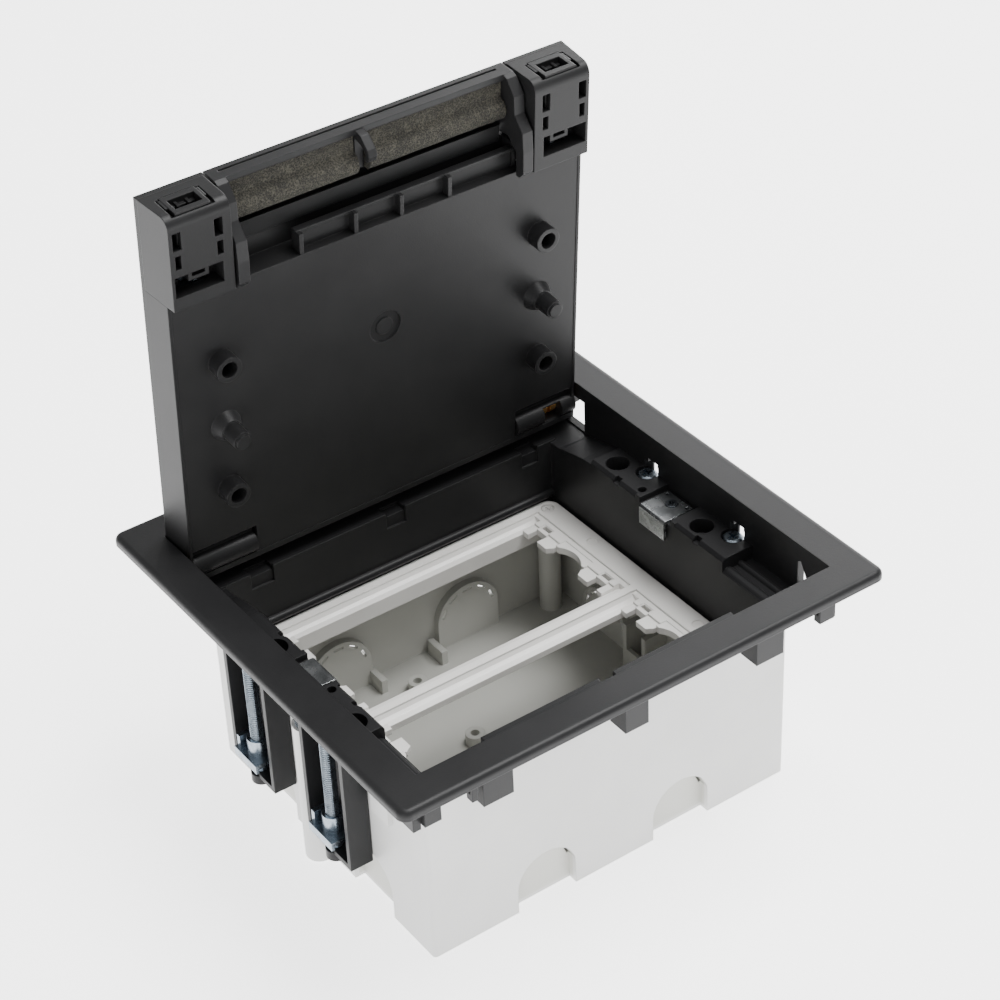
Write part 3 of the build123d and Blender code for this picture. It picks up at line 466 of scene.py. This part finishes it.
coilGraph, port = nodeGroup(
    "coilSpring",
    {
        "Radius": "NodeSocketFloat",
        "Wire": "NodeSocketFloat",
        "Turns": "NodeSocketFloat",
        "Length": "NodeSocketFloat",
    },
)
line = coilGraph.add(
    "GeometryNodeCurveSpiral",
    None,
    {
        "Resolution": coilSpring["sidesPerTurn"],
        "Rotations": port["Turns"],
        "Start Radius": port["Radius"],
        "End Radius": port["Radius"],
        "Height": port["Length"],
    },
)
wire = coilGraph.add(
    "GeometryNodeCurvePrimitiveCircle",
    {"mode": "RADIUS"},
    {"Resolution": coilSpring["sidesOfWire"], "Radius": port["Wire"]},
)
tube = coilGraph.add(
    "GeometryNodeCurveToMesh", None, {"Curve": line, "Profile Curve": wire, "Fill Caps": True}
)
closeGroup(coilGraph, tube, zinc)
coilMesh = grow(
    "boltSpring",
    coilGraph,
    {
        "Radius": coilSpring["radius"],
        "Wire": coilSpring["wire"],
        "Turns": coilSpring["turns"],
        "Length": coilSpring["length"],
    },
)
alongHinge = Matrix.Rotation(math.pi / 2, 4, "Y")
hingeLine = Matrix.Translation((coilSpring["start"], hinge["y"], hinge["z"])) @ alongHinge
spring = newObject("bolt_coil", tidyMesh(coilMesh, matrix=hingeLine), "lid", "zinc_steel", "bolt_spring")
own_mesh(spring)
print("hinge spring made")

# foam strips: a flat upper band with a rolled lip below it, and a worn open-cell surface
# near and far are up the lid from its hinge, low and high out of its inner face
foamStrip = dict(
    near=0.1038,
    far=0.1149,
    low=-0.0039,
    high=-0.0008,
    rollHeight=0.0027,
    rollAt=0.1068,
    rollSize=0.0034,
    cell=0.0005,
    finerThrough=1.6,
    wear=0.0004,
    pitScale=1300,
    hollowScale=210,
    spans=dict(foam_strip_left=(-0.0430, -0.0042), foam_strip_right=(-0.0012, 0.0430)),
)

foamGraph, port = nodeGroup(
    "foamBlock",
    {
        "Length": "NodeSocketFloat",
        "Width": "NodeSocketFloat",
        "Height": "NodeSocketFloat",
        "Roll Height": "NodeSocketFloat",
        "Roll Place": "NodeSocketFloat",
        "Roll Size": "NodeSocketFloat",
        "Cell": "NodeSocketFloat",
        "Wear": "NodeSocketFloat",
    },
)
block = foamGraph.add(
    "GeometryNodeMeshCube",
    None,
    {
        "Size": vector(foamGraph, port["Length"], port["Width"], port["Height"]),
        "Vertices X": port["Length"] / port["Cell"],
        "Vertices Y": port["Width"] / port["Cell"],
        "Vertices Z": port["Height"] / port["Cell"] * foamStrip["finerThrough"],
    },
)
spot = foamGraph.add("GeometryNodeInputPosition")
lift = axis(foamGraph, spot, 2) / port["Height"] + 0.5
offCentre = (axis(foamGraph, spot, 1) - port["Roll Place"]) / port["Roll Size"]
swell = (1 - offCentre * offCentre).maths("MAXIMUM", 0).maths("SQRT") * port["Roll Height"]
rolled = foamGraph.add(
    "GeometryNodeSetPosition", None, {"Geometry": block, "Offset": vector(foamGraph, z=lift * swell)}
)
pits = noise(foamGraph, spot, foamStrip["pitScale"], 2, 0.6)
hollows = noise(foamGraph, spot, foamStrip["hollowScale"], 2, 0.5)
depth = (pits * 0.7 + hollows * 0.6) * port["Wear"] * -1
outward = foamGraph.add("GeometryNodeInputNormal")
push = foamGraph.add("ShaderNodeVectorMath", {"operation": "SCALE"}, {0: outward, "Scale": depth})
worn = foamGraph.add("GeometryNodeSetPosition", None, {"Geometry": rolled, "Offset": push})
closeGroup(foamGraph, worn, foamOlive)
upMiddle = (foamStrip["near"] + foamStrip["far"]) / 2
outMiddle = (foamStrip["low"] + foamStrip["high"]) / 2
for name, (start, end) in foamStrip["spans"].items():
    middle = Vector(((start + end) / 2, upMiddle, outMiddle))
    mesh = grow(
        name + "_mesh",
        foamGraph,
        {
            "Length": end - start,
            "Width": foamStrip["far"] - foamStrip["near"],
            "Height": foamStrip["high"] - foamStrip["low"],
            "Roll Height": foamStrip["rollHeight"],
            "Roll Place": foamStrip["rollAt"] - upMiddle,
            "Roll Size": foamStrip["rollSize"],
            "Cell": foamStrip["cell"],
            "Wear": foamStrip["wear"],
        },
    )
    tidyMesh(mesh, matrix=lidPlane @ Matrix.Translation(middle))
    strip = newObject("worn_" + name, mesh, "cable_flap", "foam", name)
print("foam strips made")


def pulled(name, outline, start, end, material, matrix=None):
    # closed solid of an outline of (Y, Z) pairs, pulled along X
    corners = len(outline)
    mesh = bpy.data.meshes.new(name)
    mesh.from_pydata(
        [(x, *point) for x in (start, end) for point in outline],
        [],
        [tuple(range(corners)), tuple(range(corners, 2 * corners))]
        + [(n, (n + 1) % corners, (n + 1) % corners + corners, n + corners) for n in range(corners)],
    )
    mesh.materials.append(material)
    return tidyMesh(mesh, matrix=matrix)


# sloped lip of the cable bay's floor, under the foam strips: outline as (up the lid, out of it) pairs
bayLip = dict(
    halfWidth=0.0426,
    outline=[
        (0.0959, -0.00235),
        (0.0972, -0.00235),
        (0.0980, -0.0021),
        (0.1014, -0.0017),
        (0.1014, -0.0011),
        (0.0976, -0.00145),
        (0.0959, -0.0016),
    ],
)
half = bayLip["halfWidth"]
lip = pulled("bayLip", bayLip["outline"], -half, half, charcoalLid, lidPlane)
newObject("bay_lip", lip, "lid", "charcoal_lid")
print("cable bay lip made")

# front sill that the foam closes on, just inside the opening, split for the flap's hook
frontSill = dict(
    front=-0.0621,
    back=-0.0547,
    top=0.0696,
    plate=0.0018,
    wall=0.0016,
    foot=0.0628,
    spans=dict(left=(-0.0429, -0.0057), right=(-0.0009, 0.0386)),
)

plateUnder = frontSill["top"] - frontSill["plate"]
wallFront = frontSill["back"] - frontSill["wall"]
sillOutline = [
    (frontSill["front"], plateUnder),
    (wallFront, plateUnder),
    (wallFront, frontSill["foot"]),
    (frontSill["back"], frontSill["foot"]),
    (frontSill["back"], frontSill["top"]),
    (frontSill["front"], frontSill["top"]),
]
for side, (start, end) in frontSill["spans"].items():
    # the sill is part of the frame but takes the lid's darker charcoal: painted shade, as it lies in
    # shadow just inside the opening
    sill = pulled("frontSill", sillOutline, start, end, charcoalLid)
    newObject("front_sill_" + side, sill, "box", "charcoal_frame")
print("front sill made")

# pale floor, soft studio light and the photograph's camera
studio = dict(floorHalf=3, floorDrop=0.0002, floorGlow=2.6, ambience=0.7, aim=Vector((0, 0, 0.06)))
softLights = dict(
    key=dict(spot=Vector((0.40, -0.10, 1.20)), size=(0.8, 0.7), watts=25),
    sheen=dict(spot=Vector((0.95, 0.75, 0.55)), size=(0.7, 0.6), watts=9),
    fill=dict(spot=Vector((-0.9, -0.5, 0.35)), size=(0.6, 0.4), watts=2),
)
photoCamera = dict(
    spot=(-0.32282, -0.48287, 0.52010), turn=-34.040, rise=36.351, roll=2.676, lens=96.78, sensor=36
)

reach = studio["floorHalf"]
floorMesh = bpy.data.meshes.new("floor")
floorMesh.from_pydata(
    [(-reach, -reach, 0), (reach, -reach, 0), (reach, reach, 0), (-reach, reach, 0)], [], [(0, 1, 2, 3)]
)
floor = bpy.data.objects.new("floor", floorMesh)
bpy.context.scene.collection.objects.link(floor)
floor.location.z = -studio["floorDrop"]
floorMaterial, floorGraph = newMaterial("paleFloor")
floorCloud = noise(floorGraph, place(floorGraph), 3, 2)
finishMaterial(
    floorGraph,
    {
        "Base Color": blendColours(floorGraph, floorCloud, (0.86, 0.86, 0.86), (0.90, 0.90, 0.90)),
        "Roughness": 0.8,
        "Emission Color": (1, 1, 1, 1),
        "Emission Strength": studio["floorGlow"],
    },
)
floorMesh.materials.append(floorMaterial)

world = bpy.data.worlds.new("studio")
bpy.context.scene.world = world
world.use_nodes = True
background = world.node_tree.nodes["Background"]
background.inputs["Color"].default_value = (1, 1, 1, 1)
background.inputs["Strength"].default_value = studio["ambience"]

for name, light in softLights.items():
    data = bpy.data.lights.new(name, "AREA")
    data.shape = "RECTANGLE"
    data.size, data.size_y = light["size"]
    data.energy = light["watts"]
    item = bpy.data.objects.new(name, data)
    bpy.context.scene.collection.objects.link(item)
    item.location = light["spot"]
    item.rotation_euler = (studio["aim"] - light["spot"]).to_track_quat("-Z", "Y").to_euler()

cameraData = bpy.data.cameras.new("camera")
cameraData.sensor_width = photoCamera["sensor"]
cameraData.lens = photoCamera["lens"]
camera = bpy.data.objects.new("camera", cameraData)
bpy.context.scene.collection.objects.link(camera)
turn, rise, roll = (math.radians(photoCamera[angle]) for angle in ("turn", "rise", "roll"))
back = Vector((math.sin(turn) * math.cos(rise), -math.cos(turn) * math.cos(rise), math.sin(rise)))
level = Vector((0, 0, 1)).cross(back).normalized()
above = back.cross(level)
right = level * math.cos(roll) - above * math.sin(roll)
top = back.cross(right)
facing = Matrix((right, top, back)).transposed().to_4x4()
camera.matrix_world = Matrix.Translation(photoCamera["spot"]) @ facing
bpy.context.scene.camera = camera
print("stage and camera set")
